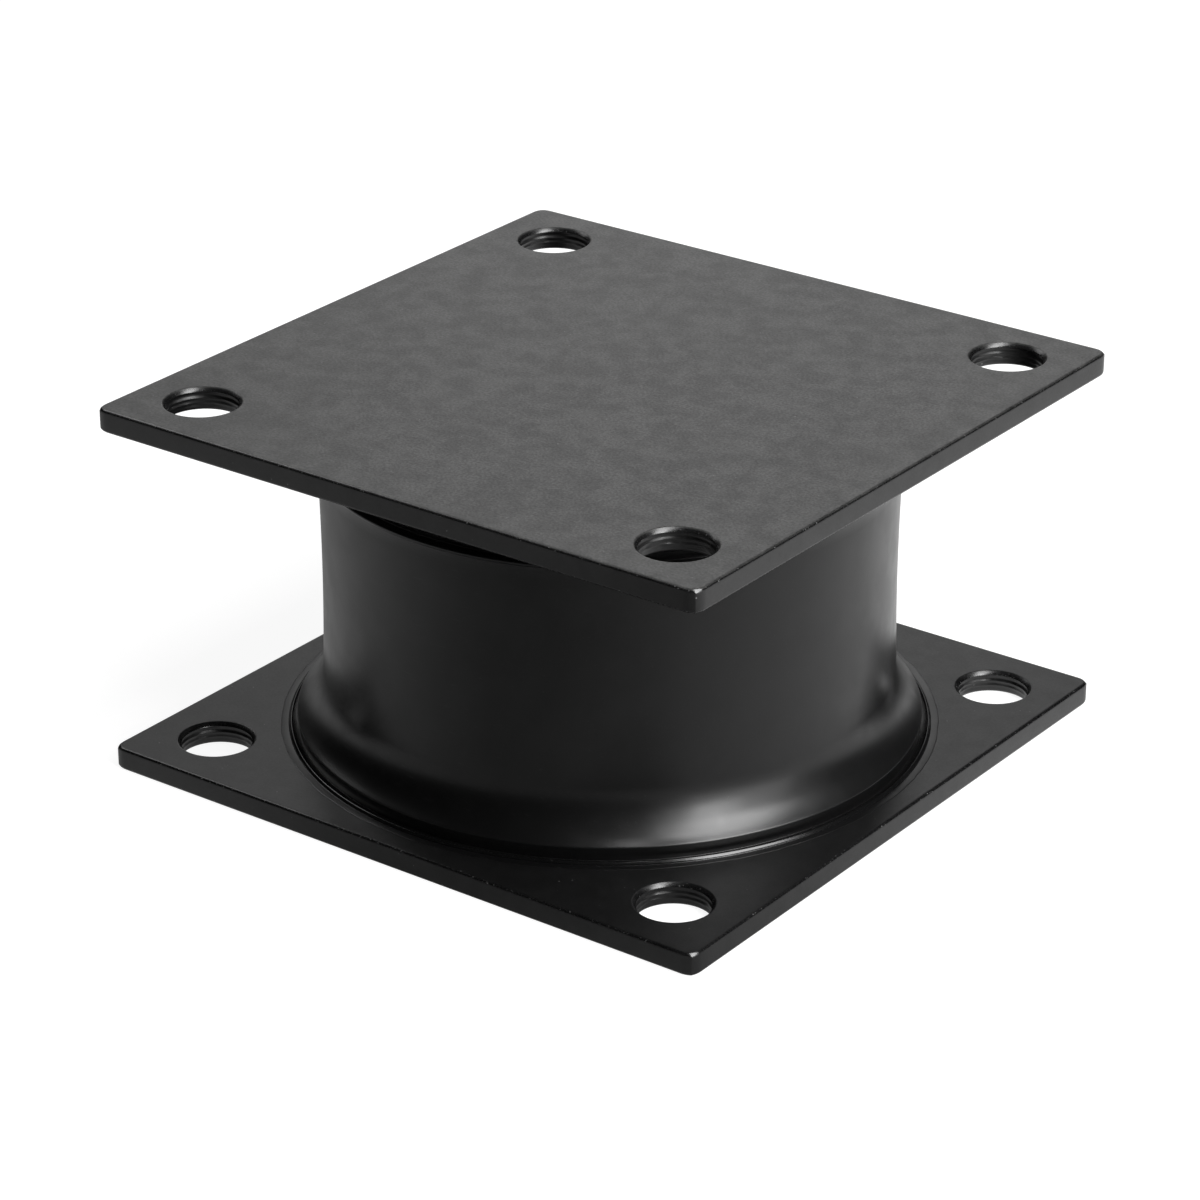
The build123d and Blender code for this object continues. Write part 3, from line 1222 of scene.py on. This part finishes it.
@dataclass(frozen=True)
class Studio:
    """A white floor and background, walls that glow behind and beside the mount, softboxes and the camera.

    The camera sees plain white all round. Glossy rays see painted light on the floor and glowing walls
    behind the mount and to its right, painted shade on the floor on its left, and a dim room on the camera's
    side.
    Turns and azimuths are in degrees.
    """

    floor_reach: float = 4.0
    floor_colour: Colour = (0.8, 0.8, 0.8)
    floor_seen_colour: Colour = (0.26, 0.26, 0.26)
    floor_lift: float = 0.9
    fade_start: float = 0.25
    fade_end: float = 0.9
    floor_azimuth: float = 190.0
    floor_full_turn: float = 55.0
    floor_last_turn: float = 180.0
    floor_bright: float = 1.0
    floor_dim: float = 0.2
    painted_shade_azimuth: float = 257.0
    painted_shade_turn: float = 78.0
    painted_shade_level: float = 0.4
    room: float = 0.01
    glows: tuple[Glow, ...] = (
        Glow(azimuth=86.2, full_turn=18.0, last_turn=24.0, full_rise=32.0, last_rise=38.0, radiance=3.0),
        Glow(azimuth=214.2, full_turn=4.5, last_turn=17.0, full_rise=27.5, last_rise=35.0, radiance=1.32),
    )
    softboxes: tuple[SoftBox, ...] = (
        SoftBox("key_softbox", azimuth=93.5, elevation=57.0, width=0.49, height=1.0, radiance=12.2),
        SoftBox("side_strip", azimuth=75.6, elevation=32.0, width=0.19, height=0.79, radiance=14.5),
        SoftBox("left_fill", azimuth=256.0, elevation=41.0, width=0.6, height=0.5, radiance=2.6),
    )
    camera_azimuth: float = 36.5
    camera_elevation: float = 25.0
    camera_distance: float = 0.887
    camera_lens: float = 125.7
    camera_sensor: float = 36.0
    aim_height: float = 31.6 * MM
    aim_right: float = -2.1 * MM

    def floor_material(self) -> bpy.types.Material:
        """Pale matt floor that keeps a faint shadow near the mount and is plain white further off."""
        material, desk, place = start_material("studio_floor")
        rays = desk.add("ShaderNodeLightPath").outputs
        seen = plainly_seen(desk, rays)
        colour = desk.mix(seen, self.floor_colour, self.floor_seen_colour)
        matt = desk.add("ShaderNodeBsdfDiffuse", {"Color": colour}).outputs[0]
        lift = desk.add("ShaderNodeEmission", {"Strength": desk.product(seen, self.floor_lift)}).outputs[0]
        near = desk.add("ShaderNodeAddShader", {0: matt, 1: lift}).outputs[0]
        white = desk.add("ShaderNodeEmission", {"Strength": 1.0}).outputs[0]
        away = desk.vector("LENGTH", place)
        far = desk.product(seen, desk.ramp(away, self.fade_start, self.fade_end))
        plain = desk.add("ShaderNodeMixShader", {0: far, 1: near, 2: white}).outputs[0]
        graded = self.mirrored_floor(desk, place)
        mirrored = desk.add("ShaderNodeEmission", {"Strength": graded}).outputs[0]
        both = desk.add("ShaderNodeMixShader", {0: rays["Is Glossy Ray"], 1: plain, 2: mirrored})
        desk.add("ShaderNodeOutputMaterial", {"Surface": both.outputs[0]})
        return material

    def mirrored_floor(self, desk: NodeDesk, place: Any) -> bpy.types.NodeSocket:
        """How bright glossy rays see the floor at a place: painted light, bright behind the mount and dim on
        the camera's side, with painted shade on its left.
        """
        turn = turn_between(desk, place, self.floor_azimuth)
        bright, dim = self.floor_bright, self.floor_dim
        graded = desk.ramp(turn, self.floor_full_turn, self.floor_last_turn, bright, dim)
        # Painted shade on the floor to the mount's left, seen only in reflections.
        shade_turn = turn_between(desk, place, self.painted_shade_azimuth)
        return desk.product(graded, desk.ramp(shade_turn, 0.0, self.painted_shade_turn, self.painted_shade_level, 1.0))

    def build_floor(self) -> None:
        """Lay the floor under the mount."""
        reach = self.floor_reach
        corners = [(-reach, -reach, 0.0), (reach, -reach, 0.0), (reach, reach, 0.0), (-reach, reach, 0.0)]
        mesh = bpy.data.meshes.new("studio_floor")
        mesh.from_pydata(corners, [], [(0, 1, 2, 3)])
        mesh.materials.append(self.floor_material())
        link("studio_floor", mesh)

    def build_world(self) -> None:
        """White for the camera, and for everything else the glowing walls of a dim room."""
        world = bpy.data.worlds.new("studio")
        world.use_nodes = True
        desk = NodeDesk(world.node_tree)
        direction = desk.add("ShaderNodeTexCoord").outputs["Generated"]
        rise = desk.math("DEGREES", desk.math("ARCSINE", desk.rise(direction)))
        walls: Any = self.room
        for glow in self.glows:
            walls = desk.math("ADD", walls, glow.strength(desk, direction, rise))
        seen = plainly_seen(desk, desk.add("ShaderNodeLightPath").outputs)
        strength = desk.add("ShaderNodeMix", {0: seen, 2: walls, 3: 1.0}, data_type="FLOAT").outputs[0]
        sky = desk.add("ShaderNodeBackground", {"Strength": strength})
        desk.add("ShaderNodeOutputWorld", {"Surface": sky.outputs[0]})
        bpy.context.scene.world = world

    def build_camera(self) -> None:
        """Set up the camera at the picture's angle."""
        back = bearing(self.camera_azimuth, self.camera_elevation)
        turn = math.radians(self.camera_azimuth)
        right = Vector((math.cos(turn), math.sin(turn), 0.0))
        lens = bpy.data.cameras.new("picture_camera")
        lens.lens = self.camera_lens
        lens.sensor_width = lens.sensor_height = self.camera_sensor
        camera = link("picture_camera", lens)
        aim = Vector((0, 0, self.aim_height)) + right * self.aim_right
        camera.location = aim + back * self.camera_distance
        camera.rotation_euler = back.to_track_quat("Z", "Y").to_euler()
        bpy.context.scene.camera = camera

    def build(self, target: Vector) -> None:
        """Set up the whole studio, with its softboxes pointing at the target."""
        self.build_floor()
        self.build_world()
        for softbox in self.softboxes:
            softbox.place(target)
        self.build_camera()
        bpy.context.scene.view_settings.view_transform = "Standard"


def main() -> None:
    """Build the mount's pieces and the studio in order."""
    logging.basicConfig(level=logging.INFO, format="%(name)s: %(message)s")
    effects = Effects()
    paint = SatinPaint().material(effects)
    rubber = MouldedRubber().material(effects)
    plate_tree = make_plate_tree()
    pieces = [SteelPlate(node, paint).build(plate_tree) for node in PlateNode]
    pieces.append(RubberColumn(rubber).build(make_rubber_tree()))
    for piece in pieces:
        mesh = piece.data
        log.info("%s: %d vertices, %d faces", piece.name, len(mesh.vertices), len(mesh.polygons))
    low, high = (Vector(corner) for corner in cad_box)
    Studio().build((low + high) / 2)


if __name__ == "__main__":
    main()
